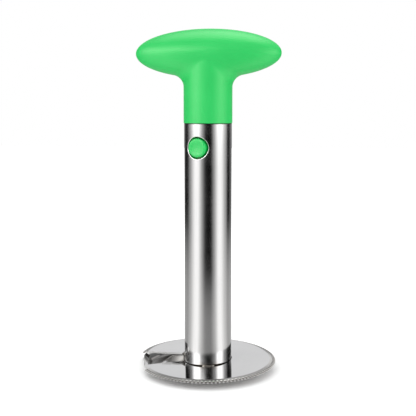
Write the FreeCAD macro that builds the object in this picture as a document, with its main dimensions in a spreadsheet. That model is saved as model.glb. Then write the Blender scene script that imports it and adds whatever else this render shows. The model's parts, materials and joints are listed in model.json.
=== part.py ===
import FreeCAD, Part
import math
import os

import Sketcher
from FreeCAD import Placement, Rotation, Vector

# Pineapple slicer: a steel core tube with a helical slicing blade welded near its lower end,
# and a T grip whose plug slides into the tube and is held there by a sprung release button.
# The origin is on the tube's axis where its teeth stand. +Z is up and X runs along the bar
# of the grip. Lengths are in millimetres and angles in degrees, counted from +X towards +Y.

SIZES = [
    ("tube_outer", 31.0, "outside diameter of the core tube"),
    ("tube_wall", 0.8, "sheet thickness of the core tube"),
    ("tube_teeth", 22, "teeth round the tube's lower end"),
    ("tube_tooth_depth", 2.2, "height of the tube's teeth"),
    ("tube_tooth_gap", 3.8, "width of a gap between two of the tube's teeth"),
    ("tube_edge_round", 0.25, "rounding of the tube's top edge"),
    ("skirt_height", 162.4, "tube's top edge, where the skirt of the grip rests"),
    ("latch_turn", -19.4, "turn of the latch from the grip's front, -Y"),
    ("latch_height", 146.9, "height of the release button's axis"),
    ("latch_hole", 14.0, "diameter of the button's hole in the tube"),
    ("latch_hole_round", 0.5, "rounding of that hole's outer edge"),
    ("blade_fold", 203.0, "angle where the blade's even helix starts, beside the fold of the lip"),
    ("fold_at_rim", 0.8, "angle from there to the fold's outer end"),
    ("fold_at_tube", 11.0, "angle from there to the fold's inner end, by the tube"),
    ("blade_slit", 179.0, "angle of the slit between the two lips"),
    ("blade_low", 4.75, "height of the blade's upper face at the fold"),
    ("blade_rise", 3.95, "climb of the blade from the fold round to the slit"),
    ("blade_bore", 15.9, "radius of the blade's hole, a little wider than the tube"),
    ("blade_sheet", 1.1, "sheet thickness of the blade"),
    ("blade_flat", 41.0, "radius where the rim's bevel starts"),
    ("blade_rim", 44.9, "radius over the tips of the rim's teeth"),
    ("bevel_drop", 1.0, "fall of the rim's bevel"),
    ("rim_edge", 0.45, "thickness of the rim at its teeth"),
    ("rim_teeth", 114, "teeth round the whole rim"),
    ("rim_tooth_depth", 1.0, "depth of the rim's teeth"),
    ("lip_rim", 43.3, "outer radius of the leading lip, which has no teeth"),
    ("lip_trim", 8.0, "angle past the fold over which the rim is trimmed like the lip"),
    ("lip_edge", 0.6, "thickness of the leading lip at its cutting edge"),
    ("lip_overlap", 6.0, "angle over which the leading lip runs on whole under the upper lip"),
    ("tongue_angle", 18.0, "angle over which the lip's cutting tongue runs on from there"),
    ("tongue_rim", 41.5, "outer radius of the tongue"),
    ("tongue_drop", 0.3, "fall of the tongue to its edge"),
    ("bar_half_length", 47.2, "half length of the grip's bar"),
    ("bar_half_width", 16.5, "half width of the bar"),
    ("bar_half_height", 15.6, "half height of the bar"),
    ("bar_height", 206.95, "height of the bar's centre line"),
    ("stem_radius", 15.8, "radius of the grip's stem"),
    ("neck_round", 8.0, "rounding between the stem and the bar"),
    ("skirt_round", 0.4, "rounding of the skirt's lower edge"),
    ("cover_thickness", 2.0, "thickness of the soft cover"),
    ("core_wall", 3.0, "wall of the hard core round its hollow bar"),
    ("core_bore", 7.05, "radius of the core's centre bore"),
    ("plug_radius", 14.55, "radius of the plug that slides in the tube"),
    ("plug_length", 45.0, "length of the plug below the skirt"),
    ("plug_lead", 1.2, "chamfer at the plug's lower end"),
    ("spigot_radius", 7.0, "radius of the plug's spigot in the core"),
    ("spigot_length", 8.0, "length of the spigot"),
    ("relief_radius", 6.5, "radius of the recess in the plug's lower end"),
    ("relief_depth", 18.0, "depth of that recess"),
    ("mouth_radius", 7.0, "radius of the button's bore at its mouth"),
    ("chamber_radius", 7.9, "radius of the bore behind the mouth"),
    ("chamber_front", 9.0, "distance from the axis to the step behind the mouth"),
    ("button_radius", 6.0, "radius of the release button"),
    ("button_face", 16.0, "distance from the axis to the rim of the button's face"),
    ("button_dish", 0.55, "depth of the dish in the button's face"),
    ("button_land", 1.5, "width of the rim round that dish"),
    ("button_round", 0.9, "rounding of the button's outer edge"),
    ("flange_radius", 7.7, "radius of the flange that keeps the button in"),
    ("flange_thickness", 1.5, "thickness of that flange"),
    ("spring_pocket", 4.0, "radius of the spring's pocket in the button"),
    ("spring_crown", 13.2, "distance from the axis to the pocket's end"),
    ("spring_radius", 3.1, "mean radius of the spring"),
    ("spring_wire", 0.7, "wire diameter of the spring"),
    ("spring_turns", 9, "turns of the spring"),
    ("spring_spans", 4, "spans that each turn of the spring is drawn in"),
    ("seat_front", 8.5, "distance behind the axis where the spring rests on its seat"),
    ("seat_thickness", 3.0, "thickness of the spring seat"),
    ("seat_pin_radius", 2.2, "radius of the pin inside the spring"),
    ("seat_pin_length", 6.0, "length of that pin"),
    ("screw_offset", 10.5, "distance of each plug screw from the axis"),
    ("screw_radius", 1.75, "radius of a plug screw"),
    ("screw_length", 50.0, "length of a plug screw under its head"),
    ("screw_point", 3.0, "length of a screw's point"),
    ("screw_point_radius", 0.3, "radius of a screw at the end of its point"),
    ("screw_head_radius", 3.0, "radius of a screw's head"),
    ("screw_head_height", 2.2, "height of a screw's head"),
    ("screw_slot_length", 3.6, "length of each slot of the cross recess in the head"),
    ("screw_slot_width", 0.8, "width of those slots"),
    ("screw_slot_depth", 1.3, "depth of those slots"),
    ("screw_seat", 130.0, "height where the screws' heads bear on the plug"),
    ("screw_well_radius", 3.25, "radius of the wells that lead to the screws"),
    ("bead_length", 4.4, "half length of a weld bead"),
    ("bead_width", 1.6, "half width of a weld bead"),
    ("bead_height", 0.9, "half height of a weld bead"),
    ("bead_sink", 0.15, "depth of a bead's centre inside the tube"),
]

# The leading lip is pressed down in flat facets into a trough, whose outer side rises again to
# the slit's outer corner. Each pair is a radius and the height of the lip's edge above the fold.
LIP_EDGE = [(15.5, 2.55), (24.5, 2.45), (39.5, -3.45), (40.8, -0.65), (43.3, 1.65)]

# Angles of the weld beads that bridge the gap between the tube and the blade.
BEAD_ANGLES = [279.0, 420.0, 533.0]

UP = Vector(0, 0, 1)
AXIS = Vector(0, 0, 0)

# Distance within which a point counts as lying on a surface.
NEAR = 0.02

# Sketched outlines start as this circle, given by its centre and radius, until they are solved.
UNSOLVED = (20.0, 9.0)

doc = FreeCAD.newDocument("pineapple_slicer")
sheet = doc.addObject("Spreadsheet::Sheet", "Sizes")
for row, (alias, number, meaning) in enumerate(SIZES, start=1):
    sheet.set("A%d" % row, meaning)
    sheet.set("B%d" % row, str(number))
    sheet.setAlias("B%d" % row, alias)
doc.recompute()


def size(alias):
    """The number in a named cell of the sheet."""
    return float(sheet.get(alias))


def bind(item, **formulas):
    """Bind properties to formulas on the sheet; a double underscore stands for a dot."""
    for name, formula in formulas.items():
        item.setExpression(name.replace("__", "."), formula)


def latch_placement():
    """The latch is built facing -Y and turned about the tube's axis."""
    return Placement(AXIS, Rotation(UP, size("latch_turn")))


def press_placement():
    """Takes a shape built along +Z to the button's axis, pointing out through the tube."""
    along_front = Placement(Vector(0, 0, size("latch_height")), Rotation(Vector(1, 0, 0), 90))
    return latch_placement().multiply(along_front)


# Sketched bodies

def new_body(label):
    body = doc.addObject("PartDesign::Body", label)
    body.Label = label
    return body


def origin_feature(body, role):
    return next(item for item in body.Origin.OriginFeatures if item.Role == role)


def sketch_on(body, name, role, lift=0.0):
    """A sketch on one of the body's origin planes, moved along its normal by lift."""
    sketch = body.newObject("Sketcher::SketchObject", name)
    sketch.AttachmentSupport = [(origin_feature(body, role), "")]
    sketch.MapMode = "FlatFace"
    sketch.AttachmentOffset = Placement(Vector(0, 0, lift), Rotation())
    return sketch


def set_point(sketch, edge, end, across, up):
    """Fix one end, or centre, of an edge by two formulas; None keeps it on the axis."""
    for kind, axis, formula in (("DistanceX", -2, across), ("DistanceY", -1, up)):
        if formula is None:
            sketch.addConstraint(Sketcher.Constraint("PointOnObject", edge, end, axis))
        else:
            index = sketch.addConstraint(Sketcher.Constraint(kind, -1, 1, edge, end, 1.0))
            sketch.setExpression("Constraints[%d]" % index, formula)


def circle(sketch, radius, across=None, up=None):
    edge = sketch.addGeometry(Part.Circle(Vector(1, 1, 0), UP, 1.0), False)
    index = sketch.addConstraint(Sketcher.Constraint("Radius", edge, 1.0))
    sketch.setExpression("Constraints[%d]" % index, radius)
    set_point(sketch, edge, 3, across, up)


def outline(sketch, corners):
    """A closed outline of straight lines; each corner is a pair of formulas."""
    count = len(corners)
    centre, radius = UNSOLVED
    middle = Vector(centre, centre, 0)
    start = [middle + polar(radius, 0, 360 * i / count) for i in range(count)]
    edges = [sketch.addGeometry(Part.LineSegment(start[i], start[(i + 1) % count]), False)
             for i in range(count)]
    for i in range(count):
        sketch.addConstraint(Sketcher.Constraint("Coincident", edges[i - 1], 2, edges[i], 1))
    for edge, (across, up) in zip(edges, corners):
        set_point(sketch, edge, 1, across, up)


def pad(body, sketch, length):
    feature = body.newObject("PartDesign::Pad", sketch.Name + "_pad")
    feature.Profile = sketch
    bind(feature, Length=length)
    return feature


def revolve(body, sketch):
    feature = body.newObject("PartDesign::Revolution", sketch.Name + "_turned")
    feature.Profile = sketch
    feature.ReferenceAxis = (sketch, ["V_Axis"])
    feature.Angle = 360
    return feature


def pocket(body, sketch, length=None, towards_normal=False):
    """Cut a sketch away, against its normal unless towards_normal; no length goes through all."""
    doc.recompute()
    before = body.Shape.Volume
    feature = body.newObject("PartDesign::Pocket", sketch.Name + "_cut")
    feature.Profile = sketch
    feature.Reversed = towards_normal
    if length is None:
        feature.Type = "ThroughAll"
    else:
        bind(feature, Length=length)
    doc.recompute()
    if body.Shape.Volume >= before:
        raise RuntimeError("%s cuts nothing" % feature.Name)
    return feature


def edges_where(shape, test):
    """Names of the edges whose sampled points all pass a test."""
    names = []
    for index, edge in enumerate(shape.Edges, start=1):
        if not edge.Degenerated and all(test(point) for point in edge.discretize(7)):
            names.append("Edge%d" % index)
    return names


def round_edges(body, feature, test, radius):
    doc.recompute()
    rounding = body.newObject("PartDesign::Fillet", feature.Name + "_round")
    rounding.Base = (feature, edges_where(feature.Shape, test))
    bind(rounding, Radius=radius)
    doc.recompute()
    return rounding


# Primitives and booleans

def primitive(kind, name, placement=Placement(), **formulas):
    item = doc.addObject("Part::" + kind, name)
    item.Placement = placement
    bind(item, **formulas)
    return item


def cylinder(name, radius, height, base=AXIS):
    return primitive("Cylinder", name, Placement(base, Rotation()), Radius=radius, Height=height)


def fuse(name, *items):
    joined = doc.addObject("Part::MultiFuse", name)
    joined.Shapes = list(items)
    joined.Refine = True
    return joined


def cut(name, base, *tools):
    tool = tools[0] if len(tools) == 1 else fuse(name + "_tools", *tools)
    removed = doc.addObject("Part::Cut", name)
    removed.Base = base
    removed.Tool = tool
    return removed


def common(name, *items):
    shared = doc.addObject("Part::MultiCommon", name)
    shared.Shapes = list(items)
    return shared


def round_shape(name, base, rounds):
    """Round edges of a primitive or boolean; rounds pairs a test with a radius."""
    doc.recompute()
    rounding = doc.addObject("Part::Fillet", name)
    rounding.Base = base
    rounding.Edges = [(int(edge[4:]), radius, radius)
                      for test, radius in rounds for edge in edges_where(base.Shape, test)]
    return rounding


def distance_from_axis(point):
    return math.hypot(point.x, point.y)


def polar(radius, height, angle):
    turn = math.radians(angle)
    return Vector(radius * math.cos(turn), radius * math.sin(turn), height)


# Core tube: seamless steel tube with a saw-toothed lower end and a rounded latch hole

def make_core_tube():
    body = new_body("core_tube")
    ring = sketch_on(body, "tube_ring", "XY_Plane")
    circle(ring, "Sizes.tube_outer / 2")
    circle(ring, "Sizes.tube_outer / 2 - Sizes.tube_wall")
    pad(body, ring, "Sizes.skirt_height")

    hole = sketch_on(body, "latch_hole", "XZ_Plane")
    circle(hole, "Sizes.latch_hole / 2", up="Sizes.latch_height")
    through = pocket(body, hole, towards_normal=True)

    def is_outside(point):
        return abs(distance_from_axis(point) - size("tube_outer") / 2) < NEAR

    def on_hole(point):
        return is_outside(point) and abs(point.z - size("latch_height")) < size("latch_hole")

    rounded = round_edges(body, through, on_hole, "Sizes.latch_hole_round")

    def on_top(point):
        return is_outside(point) and point.z > size("skirt_height") - NEAR

    round_edges(body, rounded, on_top, "Sizes.tube_edge_round")

    gap = sketch_on(body, "tube_tooth_gap", "XZ_Plane")
    outline(gap, [("-Sizes.tube_tooth_gap / 2", None),
                  ("Sizes.tube_tooth_gap / 2", None),
                  (None, "Sizes.tube_tooth_depth")])
    first_gap = pocket(body, gap, towards_normal=True)
    gaps = body.newObject("PartDesign::PolarPattern", "tube_tooth_gaps")
    gaps.Originals = [first_gap]
    gaps.Axis = (origin_feature(body, "Z_Axis"), [""])
    gaps.Angle = 360
    bind(gaps, Occurrences="Sizes.tube_teeth")
    body.Tip = gaps
    body.Placement = latch_placement()
    return body


# Slicing blade: one pressed sheet, a helical ring and the lip that dips below its slit

def blade_height(angle):
    """Height of the blade's upper face at an angle counted on from the fold."""
    fold = size("blade_fold")
    turn = size("blade_slit") + 360 - fold
    return size("blade_low") + size("blade_rise") * (angle - fold) / turn


def bevel_fall(radius):
    share = (radius - size("blade_flat")) / (size("blade_rim") - size("blade_flat"))
    return size("bevel_drop") * max(share, 0.0)


def sheet_at(radius):
    share = (radius - size("blade_flat")) / (size("blade_rim") - size("blade_flat"))
    return size("blade_sheet") - (size("blade_sheet") - size("rim_edge")) * max(share, 0.0)


def ring_shape():
    """The toothed ring, swept up a helix from the fold round to the slit."""
    inner, flat, rim = size("blade_bore"), size("blade_flat"), size("blade_rim")
    low, rise, fold = size("blade_low"), size("blade_rise"), size("blade_fold")
    turn = size("blade_slit") + 360 - fold
    upper = [polar(r, low - bevel_fall(r), 0) for r in (inner, flat, rim)]
    lower = [polar(r, low - bevel_fall(r) - sheet_at(r), 0) for r in (rim, flat, inner)]
    profile = Part.makePolygon(upper + lower + upper[:1])
    spine = Part.makeHelix(rise * 360 / turn, rise, inner)
    spine.translate(Vector(0, 0, low))
    sweep = Part.BRepOffsetAPI.MakePipeShell(Part.Wire(spine.Edges))
    sweep.setBiNormalMode(UP)
    sweep.add(profile)
    sweep.build()
    sweep.makeSolid()
    ring = sweep.shape()
    ring.rotate(AXIS, UP, fold)

    teeth = int(size("rim_teeth"))
    root = rim - size("rim_tooth_depth")
    tips = [polar(rim if i % 2 == 0 else root, 0, 180 * i / teeth) for i in range(2 * teeth)]
    star = Part.Face(Part.makePolygon(tips + tips[:1]))
    ring = ring.common(star.extrude(2 * (low + rise) * UP))
    return ring.cut(trim_shape())


def trim_shape():
    """The strip of rim beside the fold that has no teeth."""
    trim = size("lip_trim")
    start, middle, stop = [size("blade_fold") + trim * share for share in (-0.5, 0.25, 1.0)]
    near, far = size("lip_rim"), size("blade_rim") + trim
    arcs = [Part.Arc(*[polar(radius, 0, angle) for angle in (start, middle, stop)]).toShape()
            for radius in (near, far)]
    sides = [Part.makeLine(polar(near, 0, angle), polar(far, 0, angle)) for angle in (start, stop)]
    wire = Part.Wire(Part.__sortEdges__(arcs + sides))
    return Part.Face(wire).extrude(2 * size("blade_low") * UP)


def underside(upper, sheet_thickness):
    """The corners under a run of upper corners, at right angles to the sheet."""
    falls = [Vector(b.y - a.y, a.x - b.x, 0).normalize() for a, b in zip(upper, upper[1:])]
    lower = []
    for index, (corner, thickness) in enumerate(zip(upper, sheet_thickness)):
        before, after = falls[max(index - 1, 0)], falls[min(index, len(falls) - 1)]
        lower.append(corner + (before + after) * (thickness / (1 + before.dot(after))))
    return lower


def flat_section(at_tube, at_rim):
    """The flat blade's section on a line between angles short of the helix's start."""
    low, fold = size("blade_low"), size("blade_fold")
    near, far = LIP_EDGE[0][0], LIP_EDGE[-1][0]
    inner, outer = polar(near, low, fold - at_tube), polar(far, low, fold - at_rim)
    upper = [inner + (outer - inner) * ((radius - near) / (far - near)) - bevel_fall(radius) * UP
             for radius, _ in LIP_EDGE]
    lower = [point - sheet_at(radius) * UP for point, (radius, _) in zip(upper, LIP_EDGE)]
    return upper + lower[::-1]


def edge_section(angle, corners, drop=0.0):
    """A pressed section in the upright plane at an angle; drop lowers it."""
    upper = [Vector(radius, size("blade_low") + step - drop, 0) for radius, step in corners]
    lower = underside(upper, [size("lip_edge")] * len(upper))
    return [polar(corner.x, corner.y, angle) for corner in upper + lower[::-1]]


def ruled_solid(sections):
    return Part.makeLoft([Part.makePolygon(points + points[:1]) for points in sections], True, True)


def lip_shape():
    """The leading lip: flat up to its slanting fold, down to the slit and on under the blade."""
    slit, last = size("blade_slit"), size("blade_slit") - size("lip_overlap")
    lip = ruled_solid([flat_section(0, 0), flat_section(size("fold_at_tube"), size("fold_at_rim")),
                       edge_section(slit, LIP_EDGE), edge_section(last, LIP_EDGE)])
    trough = LIP_EDGE[:3] + [(size("tongue_rim"), LIP_EDGE[2][1])]
    reach, drop = size("tongue_angle"), size("tongue_drop")
    tongue = ruled_solid([edge_section(last - share * reach, trough, share * drop) for share in (0, 0.5, 1)])
    bore = Part.makeCylinder(size("blade_bore"), size("skirt_height"))
    return lip.fuse(tongue).cut(bore)


def make_blade():
    blade = doc.addObject("Part::Feature", "slicing_blade")
    blade.Label = "slicing_blade"
    blade.Shape = ring_shape().fuse(lip_shape()).removeSplitter()
    blade.Placement = Placement(AXIS, Rotation())
    return blade


# Weld beads that hold the blade on the tube

def make_beads(blade):
    """Each bead is an ellipsoid whose poles and seam lie inside the tube, where they are cut off."""
    radius = size("tube_outer") / 2 - size("bead_sink")
    tube = cylinder("bead_tube", "Sizes.tube_outer / 2", "Sizes.skirt_height")
    beads = []
    for index, angle in enumerate(BEAD_ANGLES, start=1):
        place = Placement(polar(radius, blade_height(angle), angle), Rotation(UP, angle + 180))
        beads.append(primitive("Ellipsoid", "bead_%d" % index, place, Radius1="Sizes.bead_height",
                               Radius2="Sizes.bead_width", Radius3="Sizes.bead_length"))
    group = cut("weld_beads", fuse("bead_group", *beads), tube, blade)
    group.Label = "weld_beads"
    return group


# Grip: a T with an ellipsoid bar, as a soft cover over a hard core in two halves

def tee(name, inset):
    """The grip's outer form, or the same form set in by a formula."""
    bar_place = Placement(Vector(0, 0, size("bar_height")), Rotation())
    bar = primitive("Ellipsoid", name + "_bar", bar_place,
                    Radius1="Sizes.bar_half_height - " + inset,
                    Radius2="Sizes.bar_half_length - " + inset,
                    Radius3="Sizes.bar_half_width - " + inset)
    stem = cylinder(name + "_stem", "Sizes.stem_radius - " + inset,
                    "Sizes.bar_height - Sizes.skirt_height", Vector(0, 0, size("skirt_height")))
    return fuse(name + "_form", bar, stem)


def is_neck(inset):
    radius = size("stem_radius") - inset
    low = size("skirt_height") + size("neck_round")

    def test(point):
        return abs(distance_from_axis(point) - radius) < NEAR and point.z > low
    return test


def is_skirt(point):
    return point.z < size("skirt_height") + NEAR


def make_cover(core_form):
    form = tee("cover", "0")
    outside = round_shape("cover_outside", form, [(is_neck(0), size("neck_round")),
                                                  (is_skirt, size("skirt_round"))])
    cover = cut("grip_cover", outside, core_form)
    cover.Label = "grip_cover"
    return cover


def make_core_form():
    inset = size("cover_thickness")
    form = tee("core", "Sizes.cover_thickness")
    return round_shape("core_outside", form, [(is_neck(inset), size("neck_round") + inset)])


def make_core_halves(core_form):
    """The hard core, hollow in the bar and bored in the stem, split along the bar."""
    bar_place = Placement(Vector(0, 0, size("bar_height")), Rotation())
    wall = "(Sizes.cover_thickness + Sizes.core_wall)"
    hollow = primitive("Ellipsoid", "core_hollow", bar_place,
                       Radius1="Sizes.bar_half_height - " + wall,
                       Radius2="Sizes.bar_half_length - " + wall,
                       Radius3="Sizes.bar_half_width - " + wall)
    skirt = Vector(0, 0, size("skirt_height"))
    bore = cylinder("core_centre_bore", "Sizes.core_bore", "Sizes.bar_height - Sizes.skirt_height", skirt)
    screw_holes = []
    for side in (-1, 1):
        at_screw = skirt + Vector(side * size("screw_offset"), 0, 0)
        screw_holes.append(cylinder("core_screw_hole", "Sizes.screw_radius",
                                    "Sizes.screw_seat + Sizes.screw_length - Sizes.skirt_height",
                                    at_screw))
    holes = fuse("core_screw_holes", *screw_holes)
    holes.Placement = latch_placement()
    shell = cut("core_shell", core_form, hollow, bore, holes)

    halves = []
    width = 2 * size("bar_half_length")
    for label, front in (("core_half_front", True), ("core_half_back", False)):
        corner = skirt + Vector(-width / 2, -width if front else 0, -size("cover_thickness"))
        block = primitive("Box", label + "_side", Placement(corner, Rotation()),
                          Length="2 * Sizes.bar_half_length", Width="2 * Sizes.bar_half_length",
                          Height="2 * Sizes.bar_half_length")
        half = common(label, shell, block)
        half.Label = label
        halves.append(half)
    return halves


# Plug: slides in the tube, holds the button, and is screwed up into the core

def make_plug():
    body = new_body("tube_plug")
    lower = "Sizes.skirt_height - Sizes.plug_length"
    upper = "Sizes.skirt_height + Sizes.spigot_length"
    section = sketch_on(body, "plug_section", "XZ_Plane")
    outline(section, [(None, lower),
                      ("Sizes.plug_radius - Sizes.plug_lead", lower),
                      ("Sizes.plug_radius", lower + " + Sizes.plug_lead"),
                      ("Sizes.plug_radius", "Sizes.skirt_height"),
                      ("Sizes.spigot_radius", "Sizes.skirt_height"),
                      ("Sizes.spigot_radius", upper),
                      (None, upper)])
    revolve(body, section)

    bottom = size("skirt_height") - size("plug_length")
    recess = sketch_on(body, "plug_recess", "XY_Plane", bottom)
    circle(recess, "Sizes.relief_radius")
    pocket(body, recess, "Sizes.relief_depth", towards_normal=True)

    wells = sketch_on(body, "screw_wells", "XY_Plane", bottom)
    circle(wells, "Sizes.screw_well_radius", across="Sizes.screw_offset")
    circle(wells, "Sizes.screw_well_radius", across="-Sizes.screw_offset")
    pocket(body, wells, "Sizes.screw_seat - Sizes.skirt_height + Sizes.plug_length", towards_normal=True)

    shanks = sketch_on(body, "screw_holes", "XY_Plane", bottom)
    circle(shanks, "Sizes.screw_radius", across="Sizes.screw_offset")
    circle(shanks, "Sizes.screw_radius", across="-Sizes.screw_offset")
    pocket(body, shanks, towards_normal=True)

    mouth = sketch_on(body, "button_mouth", "XZ_Plane")
    circle(mouth, "Sizes.mouth_radius", up="Sizes.latch_height")
    pocket(body, mouth, towards_normal=True)

    chamber = sketch_on(body, "button_chamber", "XZ_Plane", size("chamber_front"))
    circle(chamber, "Sizes.chamber_radius", up="Sizes.latch_height")
    pocket(body, chamber)
    body.Placement = latch_placement()
    return body


# Release button: dished, with a flange behind the plug's mouth and a pocket for the spring

def make_button():
    back = "(Sizes.chamber_front - Sizes.flange_thickness)"
    stud = cylinder("button_stud", "Sizes.button_radius", "Sizes.button_face - " + back)
    flange = cylinder("button_flange", "Sizes.flange_radius", "Sizes.flange_thickness")
    pocket_depth = "Sizes.spring_crown - " + back
    spring_room = cylinder("button_pocket", "Sizes.spring_pocket", pocket_depth)
    for item in (stud, flange, spring_room):
        bind(item, Placement__Base__z=back)
    dish_rim = size("button_radius") - size("button_land")
    dish_radius = (dish_rim ** 2 + size("button_dish") ** 2) / (2 * size("button_dish"))
    dish_centre = Vector(0, 0, size("button_face") - size("button_dish") + dish_radius)
    dish = doc.addObject("Part::Sphere", "button_dish")
    dish.Radius = dish_radius
    dish.Placement = Placement(dish_centre, Rotation())
    blank = cut("button_blank", fuse("button_turned", stud, flange), spring_room, dish)

    def on_face(radius):
        def test(point):
            at_front = point.z > size("button_face") - NEAR
            return at_front and abs(distance_from_axis(point) - radius) < NEAR
        return test

    button = round_shape("release_button", blank, [(on_face(size("button_radius")), size("button_round")),
                                                   (on_face(dish_rim), size("button_round"))])
    button.Label = "release_button"
    button.Placement = press_placement()
    return button


# Button spring and the seat pressed in behind it

def on_coil(turns):
    """A point of the spring's helix and the direction of the wire there."""
    wire = size("spring_wire")
    start = -size("seat_front") + wire / 2
    pitch = (size("spring_crown") + size("seat_front") - wire) / size("spring_turns")
    point = polar(size("spring_radius"), start + pitch * turns, 360 * turns)
    ahead = polar(size("spring_radius"), 0, 360 * turns + 90) + Vector(0, 0, pitch / (2 * math.pi))
    return point, ahead.normalize()


def tangent_arc(start, ahead, end, reach):
    """The arc from start to end that leaves along ahead; its end tangents meet at reach."""
    corner = start + reach * ahead
    chord_middle = (start + end) * 0.5
    half_chord = (end - start).Length / 2
    height = (corner - chord_middle).Length
    rise = half_chord * math.tan(math.atan2(height, half_chord) / 2)
    middle = chord_middle + (corner - chord_middle) * (rise / height)
    return Part.Arc(start, middle, end).toShape()


def joined_arcs(start, ahead, end, onward):
    """Two arcs that meet smoothly between two points with given directions."""
    chord = end - start
    square = 2 * (1 - ahead.dot(onward))
    slope = 2 * chord.dot(ahead + onward)
    reach = (math.sqrt(slope ** 2 + 4 * square * chord.dot(chord)) - slope) / (2 * square)
    first_corner, last_corner = start + reach * ahead, end - reach * onward
    meeting = (first_corner + last_corner) * 0.5
    between = (last_corner - first_corner).normalize()
    return [tangent_arc(start, ahead, meeting, reach), tangent_arc(meeting, between, end, reach)]


def make_spring():
    spans = int(size("spring_spans"))
    edges = []
    for step in range(int(size("spring_turns")) * spans):
        edges += joined_arcs(*on_coil(step / spans), *on_coil((step + 1) / spans))
    path = doc.addObject("Part::Feature", "spring_path")
    path.Shape = Part.Wire(edges)
    path.Placement = Placement(AXIS, Rotation())
    foot, ahead = on_coil(0)
    section = doc.addObject("Part::Circle", "spring_section")
    bind(section, Radius="Sizes.spring_wire / 2")
    section.Placement = Placement(foot, Rotation(UP, ahead))
    spring = doc.addObject("Part::Sweep", "button_spring")
    spring.Label = "button_spring"
    spring.Sections = [section]
    spring.Spine = (path, [])
    spring.Solid = True
    spring.Placement = press_placement()
    return spring


def make_spring_seat():
    disc = cylinder("seat_disc", "Sizes.chamber_radius", "Sizes.seat_thickness")
    bind(disc, Placement__Base__z="-Sizes.seat_front - Sizes.seat_thickness")
    pin = cylinder("seat_pin", "Sizes.seat_pin_radius", "Sizes.seat_pin_length")
    bind(pin, Placement__Base__z="-Sizes.seat_front")
    seat = fuse("spring_seat", disc, pin)
    seat.Label = "spring_seat"
    seat.Placement = press_placement()
    return seat


# Plug screws: two long screws with cross recesses, driven up from the plug's wells

def make_screws():
    screws = []
    slot_corner = Vector(-size("screw_slot_length") / 2, -size("screw_slot_width") / 2, 0)
    for number, side in enumerate((-1, 1), start=1):
        name = "screw_%d" % number
        seat = Vector(side * size("screw_offset"), 0, size("screw_seat"))
        underside = seat - size("screw_head_height") * UP
        point_base = seat + (size("screw_length") - size("screw_point")) * UP
        head = cylinder(name + "_head", "Sizes.screw_head_radius", "Sizes.screw_head_height", underside)
        shank = cylinder(name + "_shank", "Sizes.screw_radius",
                         "Sizes.screw_length - Sizes.screw_point", seat)
        point = primitive("Cone", name + "_point", Placement(point_base, Rotation()),
                          Radius1="Sizes.screw_radius", Radius2="Sizes.screw_point_radius",
                          Height="Sizes.screw_point")
        slots = []
        for turn in (0, 90):
            place = Placement(underside, Rotation(UP, turn)).multiply(Placement(slot_corner, Rotation()))
            slots.append(primitive("Box", "%s_slot_%d" % (name, turn), place,
                                   Length="Sizes.screw_slot_length", Width="Sizes.screw_slot_width",
                                   Height="Sizes.screw_slot_depth"))
        screws.append(cut(name, fuse(name + "_blank", head, shank, point), *slots))
    pair = doc.addObject("Part::Compound", "plug_screws")
    pair.Label = "plug_screws"
    pair.Links = screws
    pair.Placement = latch_placement()
    return pair


def build():
    blade = make_blade()
    core_form = make_core_form()
    nodes = [make_core_tube(), blade, make_beads(blade), make_cover(core_form)]
    nodes += make_core_halves(core_form)
    nodes += [make_plug(), make_button(), make_spring(), make_spring_seat(), make_screws()]
    doc.recompute()
    return nodes


def check_and_write(nodes):
    for item in doc.Objects:
        if "Invalid" in item.State or "Error" in item.State:
            raise RuntimeError("%s failed: %s" % (item.Name, item.State))
    for node in nodes:
        if node.Shape.isNull() or not node.Shape.isValid():
            raise RuntimeError("%s has no valid shape" % node.Label)
    os.makedirs("parts", exist_ok=True)
    for node in nodes:
        node.Shape.exportStep("parts/%s.step" % node.Label)
        box = node.Shape.BoundBox
        print("%-18s solids %d  volume %9.1f  z %7.2f to %7.2f"
              % (node.Label, len(node.Shape.Solids), node.Shape.Volume, box.ZMin, box.ZMax))


check_and_write(build())
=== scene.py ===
import json
import math

import bmesh
import bpy
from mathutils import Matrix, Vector


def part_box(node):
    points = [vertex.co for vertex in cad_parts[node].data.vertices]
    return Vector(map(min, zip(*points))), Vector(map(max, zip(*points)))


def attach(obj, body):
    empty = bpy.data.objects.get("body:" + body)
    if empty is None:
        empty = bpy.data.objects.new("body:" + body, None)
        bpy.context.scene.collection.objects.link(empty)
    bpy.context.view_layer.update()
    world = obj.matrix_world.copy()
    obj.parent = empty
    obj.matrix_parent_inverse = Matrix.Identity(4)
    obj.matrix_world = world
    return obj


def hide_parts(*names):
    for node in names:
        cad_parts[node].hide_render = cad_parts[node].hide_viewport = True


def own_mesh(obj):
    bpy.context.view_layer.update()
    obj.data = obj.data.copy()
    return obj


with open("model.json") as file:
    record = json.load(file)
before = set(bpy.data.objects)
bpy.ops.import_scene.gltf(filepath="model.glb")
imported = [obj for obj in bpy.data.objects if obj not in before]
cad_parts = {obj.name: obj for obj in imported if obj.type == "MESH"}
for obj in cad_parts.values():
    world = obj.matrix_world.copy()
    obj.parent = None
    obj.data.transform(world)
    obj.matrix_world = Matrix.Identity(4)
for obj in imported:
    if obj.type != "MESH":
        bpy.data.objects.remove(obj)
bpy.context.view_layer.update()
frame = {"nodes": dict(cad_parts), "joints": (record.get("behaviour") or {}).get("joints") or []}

# The pineapple slicer as a product picture: a green T grip on a brushed steel tube, with the
# polished slicing blade near the floor. Metres, +Z up, the origin on the tube's axis where it
# stands, and X along the grip's bar. Angles from the camera are degrees round the tube's axis,
# counted to the right of the camera as the camera sees them. Other angles are counted from X.

NODES = frame["nodes"]
BUTTON_PRESS = next(joint for joint in frame["joints"] if joint["name"] == "button_press")

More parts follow.
